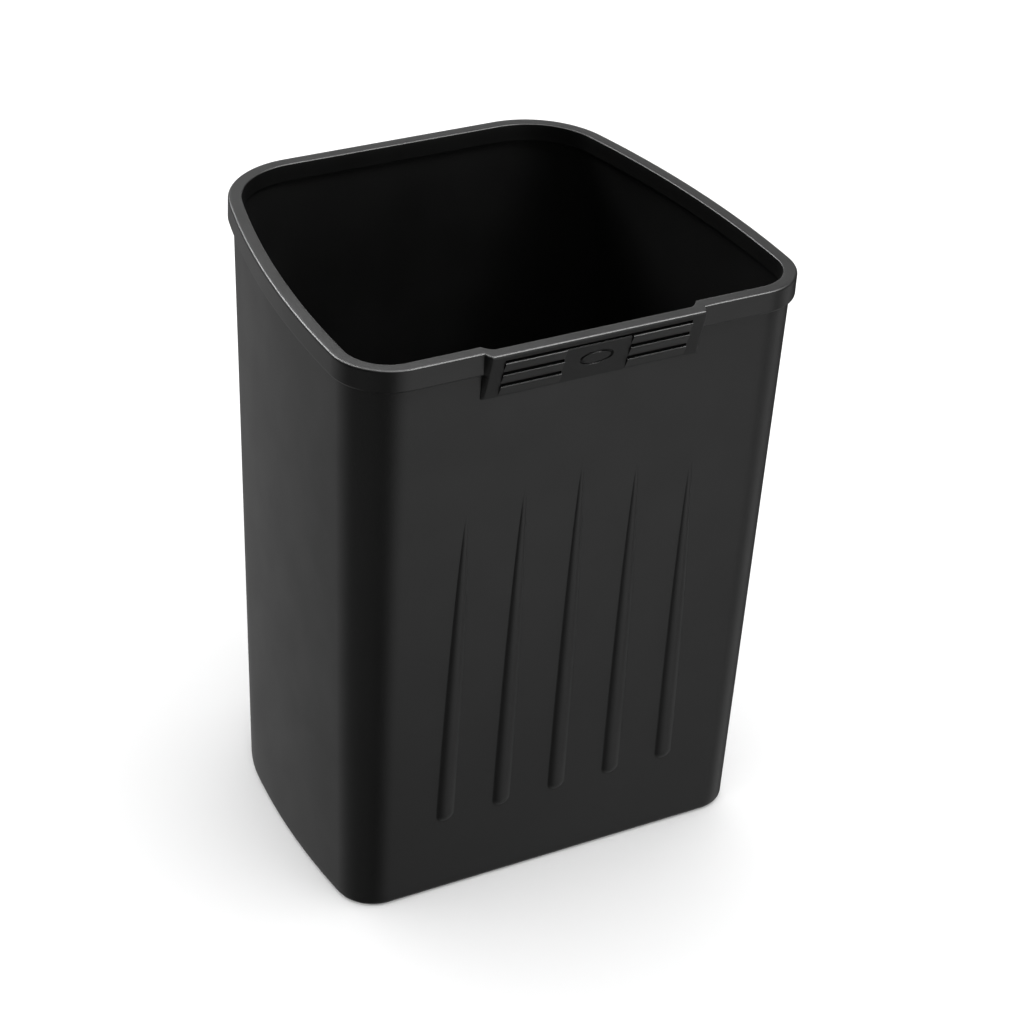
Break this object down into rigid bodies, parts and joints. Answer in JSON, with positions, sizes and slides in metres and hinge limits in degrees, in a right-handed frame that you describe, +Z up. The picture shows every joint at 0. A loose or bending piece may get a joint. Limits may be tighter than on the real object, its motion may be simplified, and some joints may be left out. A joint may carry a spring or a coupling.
{
  "type": "waste bin",
  "caption": "Open-topped tapered waste bin with rounded corners, a lift-off rim ring with a louvred front grip, and tapered ribs on the front wall.",
  "frame": {"origin": "on the floor plane at the underside of the bin, under the middle of the rim's plan", "axes": "+Z up, -Y the front with the grip and the ribs, +X to the right when looking along +Y"},
  "size_m": [0.327, 0.294, 0.42],
  "materials": {
    "body_plastic": "satin black, fine moulded grain",
    "rim_plastic": "satin black, slightly smoother on the rounded edges"
  },
  "bodies": {
    "bin": {"bin_body": "body_plastic"},
    "ring": {"rim_ring": "rim_plastic"}
  },
  "joints": [
    {"name": "rim_ring_lift", "type": "slide", "parent": "bin", "child": "ring", "axis": [0, 0, 1], "range_m": [0, 0.06]}
  ]
}
